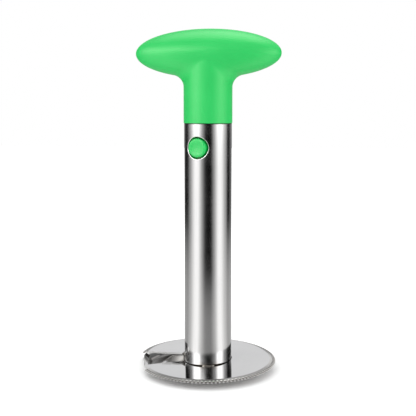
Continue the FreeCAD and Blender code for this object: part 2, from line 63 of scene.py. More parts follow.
# Camera, fitted to the photograph's frame of 416 pixels.
FRAME_PIXELS = 416
FOCAL_PIXELS = 795.8
SENSOR_WIDTH = 36.0
CAMERA_TURN = 8.0
CAMERA_DISTANCE = 0.5172
CAMERA_HEIGHT = 0.1712
CAMERA_PITCH = 5.88
CAMERA_SHIFT = -0.04

# Light. Brightness 1 shows a white surface as white.
WORLD_LIGHT = 0.80
BACKGROUND = 1.0
BOX_DISTANCE = 0.9
BOX_HEIGHT = 0.40
BOX_SIZE = (0.9, 0.80)

# The floor: how white it is for the light and for the camera, and where it fades into the
# background. Under the blade it carries a painted shadow where it shows through the slit,
# between pairs of distances over which that eases in and out.
FLOOR_REACH = 3.0
FLOOR_ALBEDO = 0.8
FLOOR_SEEN = 1.16
FLOOR_PAINTED_SHADOW = 0.12
FLOOR_LIFT = 0.02
FLOOR_FADE = (0.10, 0.30)
UNDER_DEPTH = (0.002, 0.016)
UNDER_EDGE = (0.0485, 0.0530)
UNDER_ACROSS = ((-0.0480, -0.0452), (-0.034, -0.012))

# The light tent that the metal mirrors. Each row is an angle from the camera, the brightness of
# the tent's wall there, and that of its floor close to the tool.
TENT_BANDS = [(-180, 0.30, 0.60), (-152, 0.22, 0.56), (-140, 0.04, 0.51), (-124, 0.0, 0.44),
              (-110, 0.04, 0.46), (-104, 0.22, 0.58), (-89, 0.50, 0.76), (-77, 1.00, 1.05),
              (-65, 1.45, 1.42), (-46, 1.45, 1.42), (-38, 0.88, 0.98), (-28, 0.42, 0.66),
              (-19, 0.17, 0.45), (-12, 0.02, 0.33), (0, 0.0, 0.30), (16, 0.0, 0.30),
              (20, 0.14, 0.42), (31, 0.48, 0.65), (41, 1.00, 1.04), (50, 1.45, 1.42),
              (64, 1.45, 1.42), (75, 1.08, 1.08), (86, 0.60, 0.82), (98, 0.38, 0.63),
              (104, 0.03, 0.50), (122, 0.0, 0.50), (132, 0.12, 0.53), (150, 0.26, 0.58)]
TENT_PEAK = 1.5

# Patches of the tent, as pairs of heights or angles over which they ease in and out: the wall
# that the blade mirrors, the lighter wall beside the grip, and a soft box on the left.
MIRRORED_HEIGHTS = ((0.19, 0.25), (0.33, 0.37))
REAR_HEIGHTS = ((0.155, 0.185), (0.22, 0.26))
REAR_GLOW = 0.42
SOFT_BOX_ANGLES = ((-100, -72), (-30, -6))
SOFT_BOX_HEIGHTS = ((0.29, 0.43), (0.40, 0.92))
SOFT_BOX_GLOW = 5.2

# The tent's outline, as radii and heights: a floor with a hole for the tool, a wall and a dome.
TENT_SIDES = 96
TENT_LIFT = 0.0004
TENT_RADIUS = 0.9
TENT_WALL = 0.55
TENT_FLOOR_RINGS = (0.047, 0.12, 0.4, TENT_RADIUS)
TENT_DOME_RINGS = [(0.85, 0.75), (0.68, 0.98), (0.4, 1.14), (0.01, 1.2)]

# The blade's rim: its teeth, the bevel behind them, and how far in from the rim the honing and
# the gullets' painted shade reach, as pairs of distances over which they ease in. Sideways a
# gullet's painted shade eases in between two shares of a tooth, counted from the gullet's middle.
RIM_TEETH = 114
RIM_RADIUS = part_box("slicing_blade")[1].x
BEVEL_START = 0.0410
BEVEL_EASE = 0.0003
HONED_DEPTHS = (0.0021, 0.0013)
GULLET_DEPTHS = (0.0024, 0.0012)
GULLET_SHARES = (0.34, 0.16)

# The blade's leading lip, which has no teeth over an angle round its middle, with an easing edge
# in radians, and lies below the height given. Its facets are painted darker between two radii,
# as painted shade under the upper lip, up to the wing at its outer end, which is painted lighter.
# The wall of the blade's bore is painted dark up to a pair of radii, as painted shade in the gap
# round the tube.
LIP_MIDDLE = 183.0
LIP_HALF = 28.5
LIP_EASE = 0.008
LIP_TOP = 0.0074
SLIT_DEPTH = 0.0006
FACET_RADII = (0.022, 0.037)
WING_RADII = (0.0398, 0.0404)
BORE_RADII = (0.0173, 0.0176)

# The seam between tube and blade: a helix that climbs from the fold round to the slit, in metres
# per degree. The tube carries a painted shade of the gap along it. By the front tack that painted
# shade widens, the steel is tinted and the tack is darker in its middle, each easing in between
# two angles from it.
TUBE_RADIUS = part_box("core_tube")[1].x
TUBE_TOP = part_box("core_tube")[1].z
SEAM_START = 203.0
SEAM_LOW = 0.00475
SEAM_CLIMB = 0.00395 / 336
GAP_ANGLES = (60.0, 25.0)
GAP_HALF_WIDTHS = (0.00025, 0.0007)
GAP_EASE = 0.0002
TINT_ANGLES = (34.0, 14.0)
TINT_REACH = (0.0035, 0.0007)
DARK_MIDDLE_ANGLES = (12.0, 7.0)

# The weld's tacks: where they are, their half length, width and height, how deep their centres
# lie in the tube, and the count, depth and forward bow of their ripples.
BEAD_ANGLES = (279.0, 420.0, 533.0)
BEAD_HALVES = (0.0044, 0.0016, 0.0009)
BEAD_SINK = 0.00015
BEAD_RIPPLES = 5.5
BEAD_RIPPLE_DEPTH = 0.10
BEAD_BOW = 0.35
BEAD_STEPS = 96
BEAD_SIDES = 40

# The button's spring: where its axis meets the tube's, the way out to the button, where its ends
# are along that way, and its coil.
SPRING_LOW, SPRING_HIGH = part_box("button_spring")
SPRING_MIDDLE = Vector((0, 0, round((SPRING_LOW.z + SPRING_HIGH.z) / 2, 6)))
SPRING_OUTWARD = -Vector(BUTTON_PRESS["axis"])
SPRING_ENDS = (-0.0085, 0.0132)
SPRING_RADIUS = 0.0031
SPRING_WIRE = 0.00035
SPRING_TURNS = 9
SPRING_STEPS = 36
WIRE_SIDES = 10

# Colours. A pair holds the two tones that a finish varies between.
GREENS = ((0.010, 0.685, 0.127, 1), (0.014, 0.705, 0.135, 1))
GREEN_SHEEN = (1.0, 0.62, 0.85, 1)
CORE_PLASTIC = ((0.76, 0.76, 0.71, 1), (0.84, 0.84, 0.8, 1))
TUBE_STEEL = ((0.62, 0.615, 0.61, 1), (0.68, 0.675, 0.67, 1))
BLADE_STEEL = ((0.60, 0.60, 0.61, 1), (0.64, 0.64, 0.645, 1))
BLADE_BENEATH = (0.42, 0.41, 0.40, 1)
PAINTED_LIP_FACETS = ((0.28, 0.27, 0.26, 1), (0.18, 0.17, 0.16, 1))
PAINTED_LIP_WING = (0.74, 0.74, 0.735, 1)
LIP_TONGUE_SHADE = (0.14, 0.125, 0.115, 1)
GROUND_RIM = ((0.56, 0.55, 0.535, 1), (0.68, 0.675, 0.665, 1))
HONED_EDGE = ((0.58, 0.565, 0.55, 1), (0.73, 0.72, 0.705, 1))
GULLET_SHADE = (0.24, 0.22, 0.205, 1)
BORE_SHADE_AND_EDGES = ((0.14, 0.13, 0.12, 1), (0.72, 0.715, 0.70, 1))
WELD_STEEL = ((0.34, 0.31, 0.28, 1), (0.60, 0.57, 0.53, 1))
WELD_DARK_MIDDLE = (0.11, 0.10, 0.09, 1)
HEAT_TINT = (0.50, 0.40, 0.30, 1)
PAINTED_GAP_SHADE = (0.02, 0.016, 0.012, 1)
ZINC = (0.66, 0.66, 0.68, 1)
SPRING_STEEL = (0.55, 0.55, 0.57, 1)


def from_camera(angle, distance, height):
    """A point at an angle from the camera, round the tube's axis."""
    turn = math.radians(CAMERA_TURN + angle)
    return Vector((distance * math.sin(turn), -distance * math.cos(turn), height))


def grey(value):
    return (value, value, value, 1)


# Shader helpers

class Shader:
    """A node tree with short calls for the nodes that these materials use."""

    def __init__(self, tree):
        self.tree = tree

    def node(self, kind, **settings):
        made = self.tree.nodes.new(kind)
        for name, value in settings.items():
            setattr(made, name, value)
        return made

    def feed(self, socket, value):
        """Link another node's output, or set a plain value."""
        if isinstance(value, bpy.types.NodeSocket):
            self.tree.links.new(value, socket)
        else:
            socket.default_value = value

    def maths(self, operation, first, second=0.0, third=0.0):
        made = self.node("ShaderNodeMath", operation=operation)
        for socket, value in zip(made.inputs, (first, second, third)):
            self.feed(socket, value)
        return made.outputs[0]

    def product(self, first, *others):
        for other in others:
            first = self.maths("MULTIPLY", first, other)
        return first

    def away(self, value, middle):
        """How far a value is from a middle one."""
        return self.maths("ABSOLUTE", self.maths("SUBTRACT", value, middle))

    def remap(self, value, low, high, to_low=0.0, to_high=1.0):
        made = self.node("ShaderNodeMapRange")
        for name, given in (("Value", value), ("From Min", low), ("From Max", high),
                            ("To Min", to_low), ("To Max", to_high)):
            self.feed(made.inputs[name], given)
        return made.outputs["Result"]

    def vary(self, noise, low, high):
        """From one value to another as a noise changes, which is mostly between 0.3 and 0.7."""
        return self.remap(noise, 0.3, 0.7, low, high)

    def smooth(self, value, low, high, to_low=0.0, to_high=1.0):
        eased = self.remap(value, low, high, to_low, to_high)
        eased.node.interpolation_type = "SMOOTHSTEP"
        return eased

    def patch(self, value, rise, fall):
        """1 on a stretch of a value, easing in over one pair of values and out over another."""
        return self.product(self.smooth(value, *rise), self.smooth(value, *reversed(fall)))

    def blend(self, share, first, second):
        made = self.node("ShaderNodeMix", data_type="FLOAT")
        self.feed(made.inputs[0], share)
        self.feed(made.inputs[2], first)
        self.feed(made.inputs[3], second)
        return made.outputs[0]

    def mix_colour(self, share, first, second):
        made = self.node("ShaderNodeMix", data_type="RGBA")
        self.feed(made.inputs[0], share)
        self.feed(made.inputs[6], first)
        self.feed(made.inputs[7], second)
        return made.outputs[2]

    def noise(self, vector, scale, detail=2.0, roughness=0.5):
        made = self.node("ShaderNodeTexNoise")
        self.feed(made.inputs["Vector"], vector)
        self.feed(made.inputs["Scale"], scale)
        made.inputs["Detail"].default_value = detail
        made.inputs["Roughness"].default_value = roughness
        return made.outputs["Fac"]

    def bump(self, height, strength, distance):
        made = self.node("ShaderNodeBump")
        made.inputs["Strength"].default_value = strength
        made.inputs["Distance"].default_value = distance
        self.feed(made.inputs["Height"], height)
        return made.outputs["Normal"]

    def place(self):
        """The place on the object, which keeps to it when it moves."""
        return self.node("ShaderNodeTexCoord").outputs["Object"]

    def parts(self, vector):
        """The X, Y and Z of a vector."""
        split = self.node("ShaderNodeSeparateXYZ")
        self.feed(split.inputs[0], vector)
        return split.outputs

    def joined(self, across, depth, height=0.0):
        """A vector from its X, Y and Z."""
        made = self.node("ShaderNodeCombineXYZ")
        for socket, value in zip(made.inputs, (across, depth, height)):
            self.feed(socket, value)
        return made.outputs[0]

    def upward(self):
        """How far the surface faces up: 1 on a top, 0 on a side and -1 underneath."""
        return self.parts(self.node("ShaderNodeTexCoord").outputs["Normal"])[2]

    def length(self, across, depth):
        return self.maths("SQRT", self.maths("MULTIPLY_ADD", across, across,
                                             self.product(depth, depth)))

    def angle(self, across, depth):
        """Degrees round the tube's axis, from 180 to 540."""
        turn = self.maths("DEGREES", self.maths("ARCTAN2", depth, across))
        return self.maths("ADD", turn, 360.0)


def node_group(name, inputs, outputs):
    """An empty shader group; its inputs are numbers with a starting value, its outputs numbers."""
    tree = bpy.data.node_groups.new(name, "ShaderNodeTree")
    for label, value in inputs.items():
        socket = tree.interface.new_socket(label, in_out="INPUT", socket_type="NodeSocketFloat")
        socket.default_value = value
    for label in outputs:
        tree.interface.new_socket(label, in_out="OUTPUT", socket_type="NodeSocketFloat")
    shader = Shader(tree)
    return shader, shader.node("NodeGroupInput").outputs, shader.node("NodeGroupOutput").inputs


GROUPS = {}


def place_group(shader, maker, **values):
    """Use a shared group, built the first time that it is asked for."""
    if maker.__name__ not in GROUPS:
        GROUPS[maker.__name__] = maker()
    made = shader.node("ShaderNodeGroup")
    made.node_tree = GROUPS[maker.__name__]
    for name, value in values.items():
        made.inputs[name.replace("_", " ")].default_value = value
    return made.outputs


def bare_material(name):
    material = bpy.data.materials.new(name)
    material.use_nodes = True
    material.node_tree.nodes.clear()
    return material, Shader(material.node_tree)


def show_surface(shader, surface):
    output = shader.node("ShaderNodeOutputMaterial")
    shader.feed(output.inputs["Surface"], surface.outputs[0])


def new_material(name):
    """A material with a fresh Principled shader, and the sockets to feed."""
    material, shader = bare_material(name)
    surface = shader.node("ShaderNodeBsdfPrincipled")
    show_surface(shader, surface)
    return material, shader, surface.inputs


# Effects that the materials place

def grain_group():
    """Fine moulded grain and a slow change of tone, for plastic."""
    shader, given, result = node_group(
        "moulded_grain", {"Grain Scale": 2500.0, "Patch Scale": 60.0}, ("Grain", "Patches"))
    place = shader.place()
    grain = shader.noise(place, given["Grain Scale"], detail=3.0, roughness=0.6)
    shader.feed(result["Grain"], grain)
    shader.feed(result["Patches"], shader.noise(place, given["Patch Scale"], detail=4.0))
    return shader.tree


def brushing_group():
    """Streaks along Z round a tube: fine ones, a coarser set that comes and goes, and scuffs."""
    shader, given, result = node_group(
        "lengthwise_brushing", {"Streak Scale": 2600.0, "Stretch": 0.012}, ("Streaks", "Scuffs"))
    place = shader.place()
    across, depth, height = shader.parts(place)
    drawn_out = shader.joined(across, depth, shader.product(height, given["Stretch"]))
    fine = shader.noise(drawn_out, given["Streak Scale"], detail=4.0, roughness=0.65)
    coarse = shader.noise(drawn_out, 420.0, detail=3.0)
    shader.feed(result["Streaks"], shader.maths("MULTIPLY_ADD", coarse, 0.35, fine))
    shader.feed(result["Scuffs"], shader.noise(place, 90.0, detail=5.0, roughness=0.6))
    return shader.tree


def seam_group():
    """A painted shade of the gap, and the heat tint, where a helical blade is tacked round a tube."""
    shader, given, result = node_group(
        "seam_shade_and_tint",
        {"Start": SEAM_START, "Low": SEAM_LOW, "Climb": SEAM_CLIMB, "Tack": BEAD_ANGLES[0]},
        ("Gap Shade", "Tint"))
    across, depth, height = shader.parts(shader.place())
    angle = shader.angle(across, depth)
    seam = shader.maths("MULTIPLY_ADD", shader.maths("SUBTRACT", angle, given["Start"]),
                        given["Climb"], given["Low"])
    away = shader.away(height, seam)
    aside = shader.away(angle, given["Tack"])
    # The gap's shade is painted on the tube along the seam, widest by the tack.
    outside = shader.maths("SUBTRACT", away, shader.smooth(aside, *GAP_ANGLES, *GAP_HALF_WIDTHS))
    tint = shader.product(shader.smooth(aside, *TINT_ANGLES), shader.smooth(away, *TINT_REACH))
    shader.feed(result["Gap Shade"], shader.smooth(outside, GAP_EASE, 0.0))
    shader.feed(result["Tint"], tint)
    return shader.tree


def grinding_group():
    """The ground rim of a round blade: its bevel, its honed edge, the gullets for painted shade, and
    fine scratches.
    """
    shader, given, result = node_group(
        "rim_grinding", {"Teeth": RIM_TEETH, "Bevel Start": BEVEL_START, "Rim": RIM_RADIUS},
        ("Bevel", "Honed", "Gullets", "Scratches"))
    across, depth, _ = shader.parts(shader.place())
    radius = shader.length(across, depth)
    outwards = shader.maths("SUBTRACT", radius, given["Bevel Start"])
    inwards = shader.maths("SUBTRACT", given["Rim"], radius)
    turn = shader.maths("DIVIDE", shader.maths("ARCTAN2", depth, across), 2 * math.pi)
    tooth = shader.maths("FRACT", shader.product(turn, given["Teeth"]))
    gullet = shader.smooth(shader.away(tooth, 0.5), *GULLET_SHARES)
    spun = shader.joined(shader.product(turn, 3.0), radius)
    shader.feed(result["Bevel"], shader.smooth(outwards, 0.0, BEVEL_EASE))
    shader.feed(result["Honed"], shader.smooth(inwards, *HONED_DEPTHS))
    shader.feed(result["Gullets"], shader.product(gullet, shader.smooth(inwards, *GULLET_DEPTHS)))
    shader.feed(result["Scratches"], shader.noise(spun, 260.0, detail=4.0, roughness=0.7))
    return shader.tree


def pressing_group():
    """Where a slit disc's lip was pressed down: all the lip, its facets, and what is past the slit."""
    shader, given, result = node_group(
        "lip_pressing",
        {"Middle": LIP_MIDDLE, "Half": LIP_HALF, "Top": LIP_TOP, "Slit": SLIT_DEPTH},
        ("Lip", "Facets", "Past Slit"))
    across, depth, height = shader.parts(shader.place())
    middle = shader.maths("RADIANS", given["Middle"])
    aligned = shader.maths("MULTIPLY_ADD", across, shader.maths("COSINE", middle),
                           shader.product(depth, shader.maths("SINE", middle)))
    aside = shader.maths("ARCCOSINE", shader.maths("DIVIDE", aligned, shader.length(across, depth)))
    beyond = shader.maths("SUBTRACT", aside, shader.maths("RADIANS", given["Half"]))
    below = shader.smooth(shader.maths("SUBTRACT", height, given["Top"]), 0.00005, -0.00005)
    lip = shader.product(shader.smooth(beyond, LIP_EASE, -LIP_EASE), below)
    tilted = shader.smooth(shader.maths("ABSOLUTE", shader.upward()), 0.997, 0.985)
    past = shader.smooth(shader.maths("SUBTRACT", depth, given["Slit"]), 0.0, 0.0002)
    shader.feed(result["Lip"], lip)
    shader.feed(result["Facets"], shader.product(lip, tilted))
    shader.feed(result["Past Slit"], shader.product(lip, past))
    return shader.tree


# Materials

def satin_green(name, roughness, grain_depth):
    """Satin green plastic with a fine moulded grain."""
    material, shader, surface = new_material(name)
    marks = place_group(shader, grain_group)
    tone = shader.remap(marks["Patches"], 0.35, 0.65)
    shader.feed(surface["Base Color"], shader.mix_colour(tone, *GREENS))
    shader.feed(surface["Roughness"], shader.vary(marks["Grain"], roughness - 0.04, roughness + 0.04))
    shader.feed(surface["Normal"], shader.bump(marks["Grain"], 0.5, grain_depth))
    surface["IOR"].default_value = 1.6
    surface["Specular Tint"].default_value = GREEN_SHEEN
    return material


def core_plastic():
    """The pale, matt plastic of the hidden core."""
    material, shader, surface = new_material("core_plastic")
    marks = place_group(shader, grain_group, Grain_Scale=1500.0)
    shader.feed(surface["Base Color"], shader.mix_colour(marks["Patches"], *CORE_PLASTIC))
    shader.feed(surface["Roughness"], shader.vary(marks["Grain"], 0.42, 0.5))
    shader.feed(surface["Normal"], shader.bump(marks["Grain"], 0.3, 0.00003))
    return material


def brushed_tube():
    """Steel brushed lengthwise, with painted shade in the gap under the grip and in the seam's gap
    below.
    """
    material, shader, surface = new_material("brushed_tube_steel")
    marks = place_group(shader, brushing_group)
    seam = place_group(shader, seam_group)
    colour = shader.mix_colour(shader.remap(marks["Streaks"], 0.4, 0.95), *TUBE_STEEL)
    colour = shader.mix_colour(shader.product(seam["Tint"], 0.3), colour, HEAT_TINT)
    height = shader.parts(shader.place())[2]
    # Painted shade: the tube's top under the grip's skirt and the seam's gap are both painted dark.
    painted_top_shade = shader.smooth(height, TUBE_TOP - 0.0008, TUBE_TOP - 0.0003, 0.0, 0.85)
    hidden = shader.maths("MAXIMUM", seam["Gap Shade"], painted_top_shade)
    shader.feed(surface["Base Color"], shader.mix_colour(hidden, colour, PAINTED_GAP_SHADE))
    surface["Metallic"].default_value = 1.0
    shader.feed(surface["Roughness"], shader.vary(marks["Scuffs"], 0.13, 0.19))
    surface["Anisotropic"].default_value = 0.5
    around = shader.node("ShaderNodeTangent", direction_type="RADIAL", axis="Z")
    shader.feed(surface["Tangent"], around.outputs[0])
    shader.feed(surface["Normal"], shader.bump(marks["Streaks"], 0.25, 0.00002))
    return material


def polished_blade():
    """Polished steel: a ground rim, duller pressed facets in painted shade, painted shade past the
    slit, in the gullets and on the bore's wall, and matt sheared edges and underside.
    """
    material, shader, surface = new_material("polished_blade_steel")
    marks = place_group(shader, grain_group, Grain_Scale=900.0, Patch_Scale=35.0)
    ground = place_group(shader, grinding_group)
    pressed = place_group(shader, pressing_group)
    across, depth, _ = shader.parts(shader.place())
    radius = shader.length(across, depth)
    upward = shader.upward()
    toothed = shader.maths("SUBTRACT", 1.0, pressed["Lip"])
    bevel = shader.product(ground["Bevel"], toothed)
    honed = shader.product(ground["Honed"], toothed)
    # Painted shade in the gullets between the teeth.
    gullets = shader.product(ground["Gullets"], toothed)
    sheared = shader.smooth(shader.maths("ABSOLUTE", upward), 0.5, 0.35)
    beneath = shader.smooth(upward, -0.4, -0.6)
    scratches = shader.remap(ground["Scratches"], 0.35, 0.65)

    # The facets' colour is painted: darker outward as painted shade under the upper lip, lighter on
    # the wing.
    painted_facet = shader.mix_colour(shader.remap(radius, *FACET_RADII), *PAINTED_LIP_FACETS)
    painted_facet = shader.mix_colour(shader.smooth(radius, *WING_RADII), painted_facet, PAINTED_LIP_WING)
    # Sheared edges keep their own pale colour; the bore's wall is painted dark as painted shade in the
    # gap.
    edge_or_bore_shade = shader.mix_colour(shader.smooth(radius, *BORE_RADII), *BORE_SHADE_AND_EDGES)
    colour = shader.mix_colour(shader.vary(marks["Patches"], 0.0, 1.0), *BLADE_STEEL)
    # The tongue past the slit is painted dark, as painted shade under the upper lip.
    for mask, finish in ((pressed["Facets"], painted_facet), (pressed["Past Slit"], LIP_TONGUE_SHADE),
                         (bevel, shader.mix_colour(scratches, *GROUND_RIM)),
                         (honed, shader.mix_colour(scratches, *HONED_EDGE)),
                         (beneath, BLADE_BENEATH), (sheared, edge_or_bore_shade), (gullets, GULLET_SHADE)):
        colour = shader.mix_colour(mask, colour, finish)
    shader.feed(surface["Base Color"], colour)

    gloss = shader.vary(marks["Grain"], 0.035, 0.065)
    for mask, roughness in ((pressed["Facets"], 0.24),
                            (bevel, shader.vary(ground["Scratches"], 0.13, 0.22)),
                            (shader.maths("MAXIMUM", honed, beneath), 0.32), (sheared, 0.5)):
        gloss = shader.blend(mask, gloss, roughness)
    shader.feed(surface["Roughness"], gloss)
    shader.feed(surface["Metallic"], shader.blend(sheared, 1.0, 0.35))
    cuts = shader.product(ground["Scratches"], shader.product(bevel, 0.05))
    shader.feed(surface["Normal"], shader.bump(shader.maths("SUBTRACT", cuts, gullets), 0.6, 0.0005))
    return material


def weld_metal():
    """Weld metal: bright ripples in patches, darker in the middle of the front tack."""
    material, shader, surface = new_material("weld_metal")
    marks = place_group(shader, grain_group, Grain_Scale=2400.0, Patch_Scale=420.0)
    colour = shader.mix_colour(shader.remap(marks["Patches"], 0.35, 0.65), *WELD_STEEL)
    across, depth, _ = shader.parts(shader.place())
    aside = shader.away(shader.angle(across, depth), BEAD_ANGLES[0])
    darker_middle = shader.smooth(aside, *DARK_MIDDLE_ANGLES)
    shader.feed(surface["Base Color"], shader.mix_colour(darker_middle, colour, WELD_DARK_MIDDLE))
    surface["Metallic"].default_value = 1.0
    shader.feed(surface["Roughness"], shader.vary(marks["Grain"], 0.12, 0.24))
    shader.feed(surface["Normal"], shader.bump(marks["Grain"], 0.4, 0.00004))
    return material


def plain_metal(name, bright, roughness):
    """Plated or drawn metal, a little darker in patches."""
    material, shader, surface = new_material(name)
    marks = place_group(shader, grain_group, Grain_Scale=1800.0, Patch_Scale=300.0)
    darker = tuple(0.75 * part for part in bright[:3]) + (1,)
    shader.feed(surface["Base Color"], shader.mix_colour(marks["Patches"], darker, bright))
    surface["Metallic"].default_value = 1.0
    shader.feed(surface["Roughness"], shader.vary(marks["Grain"], roughness - 0.05, roughness + 0.08))
    shader.feed(surface["Normal"], shader.bump(marks["Grain"], 0.3, 0.00005))
    return material


def dress_nodes():
    """Give every node that still shows its material."""
    core = core_plastic()
    plastic = satin_green("green_plastic", 0.27, 0.00001)
    wear = {
        "core_tube": brushed_tube(),
        "slicing_blade": polished_blade(),
        "grip_cover": satin_green("green_cover", 0.35, 0.00002),
        "tube_plug": plastic,
        "release_button": plastic,
        "core_half_front": core,
        "core_half_back": core,
        "spring_seat": core,
        "plug_screws": plain_metal("zinc_screws", ZINC, 0.3),
    }
    for name, material in wear.items():
        mesh = NODES[name].data
        mesh.materials.clear()
        mesh.materials.append(material)


# Pieces that replace nodes

def mesh_object(name, points, faces, material):
    mesh = bpy.data.meshes.new(name)
    mesh.from_pydata([tuple(point) for point in points], [], faces)
    mesh.update()
    made = bpy.data.objects.new(name, mesh)
    bpy.context.scene.collection.objects.link(made)
    mesh.materials.append(material)
    return made


def ring_faces(rings, sides):
    """Faces between rings of points that follow each other."""
    return [(ring * sides + i, ring * sides + (i + 1) % sides,
             (ring + 1) * sides + (i + 1) % sides, (ring + 1) * sides + i)
            for ring in range(rings - 1) for i in range(sides)]


def close_and_smooth(piece):
    """Join the points that meet at a closed end, and shade the faces smooth."""
    work = bmesh.new()
    work.from_mesh(piece.data)
    bmesh.ops.remove_doubles(work, verts=work.verts, dist=1e-6)
    bmesh.ops.recalc_face_normals(work, faces=work.faces)
    for face in work.faces:
        face.smooth = True
    work.to_mesh(piece.data)
    work.free()


def weld_bead(name, angle, material):
    """A tack of weld along the seam, laid down in overlapping ripples that bow forward."""
    long, wide, tall = BEAD_HALVES
    middle = TUBE_RADIUS - BEAD_SINK
    lift = SEAM_LOW + SEAM_CLIMB * (angle - SEAM_START)
    points = []
    for i in range(BEAD_STEPS + 1):
        share = -1 + 2 * i / BEAD_STEPS
        girth = max(1 - share ** 2, 0.0) ** 0.5
        bend = math.radians(angle) + share * long / TUBE_RADIUS
        for j in range(BEAD_SIDES):
            turn = 2 * math.pi * j / BEAD_SIDES
            ripple = abs(math.sin(math.pi * (share * BEAD_RIPPLES + BEAD_BOW * math.cos(turn))))
            size = girth * (1 - BEAD_RIPPLE_DEPTH * (1 - ripple))
            reach = max(middle + wide * size * math.cos(turn), TUBE_RADIUS - 2 * BEAD_SINK)
            points.append((reach * math.cos(bend), reach * math.sin(bend),
                           lift + tall * size * math.sin(turn)))
    bead = mesh_object(name, points, ring_faces(BEAD_STEPS + 1, BEAD_SIDES), material)
    close_and_smooth(bead)
    return bead


def make_beads():
    material = weld_metal()
    beads = [weld_bead("weld_tack_%d" % number, angle, material)
             for number, angle in enumerate(BEAD_ANGLES, start=1)]
    for bead in beads:
        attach(bead, "tube_and_blade")
        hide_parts("weld_beads")


def make_spring():
    """The button's spring, with its end turns closed."""
    upright = Vector((0, 0, 1))
    sideways = upright.cross(SPRING_OUTWARD)
    low, high = (SPRING_MIDDLE + end * SPRING_OUTWARD for end in SPRING_ENDS)
    length = (high - low).length
    pitch = 2 * SPRING_WIRE
    spare = length - pitch * (SPRING_TURNS + 1)

    def coil_point(turns):
        """The wire's middle after a number of turns, and the way there from the coil's axis."""
        opened = min(max((turns - 1) / (SPRING_TURNS - 2), 0.0), 1.0)
        rise = SPRING_WIRE + pitch * turns + spare * opened
        turn = 2 * math.pi * turns
        outward = math.cos(turn) * sideways + math.sin(turn) * upright
        return low + rise * SPRING_OUTWARD + SPRING_RADIUS * outward, outward

    steps, nearby = SPRING_STEPS * SPRING_TURNS, 0.01
    points = []
    for i in range(steps + 1):
        turns = SPRING_TURNS * i / steps
        centre, outward = coil_point(turns)
        ahead = (coil_point(turns + nearby)[0] - coil_point(turns - nearby)[0]).normalized()
        beside = ahead.cross(outward).normalized()
        for j in range(WIRE_SIDES):
            turn = 2 * math.pi * j / WIRE_SIDES
            points.append(centre + SPRING_WIRE * (math.cos(turn) * outward + math.sin(turn) * beside))
    first_end = tuple(range(WIRE_SIDES))
    last_end = tuple(steps * WIRE_SIDES + j for j in range(WIRE_SIDES))
    faces = ring_faces(steps + 1, WIRE_SIDES) + [first_end[::-1], last_end]
    wire = plain_metal("spring_wire", SPRING_STEEL, 0.25)
    spring = mesh_object("pressed_spring", points, faces, wire)
    close_and_smooth(spring)
    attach(spring, "grip")
    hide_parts("button_spring")
    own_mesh(spring)


# Floor, background and light

def seen_rays(shader):
    """1 for rays that show what they hit: from the camera, or off and through shiny surfaces."""
    path = shader.node("ShaderNodeLightPath").outputs
    shiny = shader.maths("MAXIMUM", path["Is Glossy Ray"], path["Is Transmission Ray"])
    return shader.maths("MAXIMUM", path["Is Camera Ray"], shiny)


def light_world():
    """White where it is seen, and a little less bright as a light."""
    world = bpy.data.worlds.new("studio")
    world.use_nodes = True
    bpy.context.scene.world = world
    shader = Shader(world.node_tree)
    world.node_tree.nodes.clear()
    back = shader.node("ShaderNodeBackground")
    strength = shader.remap(seen_rays(shader), 0.0, 1.0, WORLD_LIGHT, BACKGROUND)
    shader.feed(back.inputs["Strength"], strength)
    back.inputs["Color"].default_value = grey(1)
    output = shader.node("ShaderNodeOutputWorld")
    shader.feed(output.inputs["Surface"], back.outputs[0])


def floor_material():
    """White: keeps the shadow near the tool, adds a painted shadow under the slit, fades out beyond.
    """
    material, shader = bare_material("floor_white_painted_shadow")
    seen = seen_rays(shader)
    across, depth, _ = shader.parts(shader.node("ShaderNodeNewGeometry").outputs["Position"])
    distance = shader.length(across, depth)
    # A painted shadow: the floor is painted dark under the blade where it shows through the slit.
    under = shader.product(shader.smooth(depth, *UNDER_DEPTH),
                           shader.smooth(distance, *reversed(UNDER_EDGE)),
                           shader.patch(across, *UNDER_ACROSS))
    shown = shader.mix_colour(under, grey(FLOOR_SEEN), grey(FLOOR_PAINTED_SHADOW))
    matt = shader.node("ShaderNodeBsdfDiffuse")
    shader.feed(matt.inputs["Color"], shader.mix_colour(seen, grey(FLOOR_ALBEDO), shown))
    glow = shader.node("ShaderNodeEmission")
    lift = shader.maths("MAXIMUM", shader.remap(distance, *FLOOR_FADE), FLOOR_LIFT)
    shader.feed(glow.inputs["Strength"], shader.product(lift, seen))
    both = shader.node("ShaderNodeAddShader")
    shader.feed(both.inputs[0], matt.outputs[0])
    shader.feed(both.inputs[1], glow.outputs[0])
    show_surface(shader, both)
    return material


def make_floor():
    far = FLOOR_REACH
    corners = [(-far, -far, 0), (far, -far, 0), (far, far, 0), (-far, far, 0)]
    mesh_object("floor", corners, [(0, 1, 2, 3)], floor_material())


def band_ramp(shader, turn, column):
    """Brightness round the tent, from one column of its table."""
    ramp = shader.node("ShaderNodeValToRGB")
    shader.feed(ramp.inputs[0], shader.remap(turn, -180, 180))
    stops = ramp.color_ramp.elements
    while len(stops) < len(TENT_BANDS):
        stops.new(0.5)
    for stop, band in zip(stops, TENT_BANDS):
        stop.position = (band[0] + 180) / 360
        stop.color = grey(band[column] / TENT_PEAK)
    return shader.product(ramp.outputs[0], TENT_PEAK)


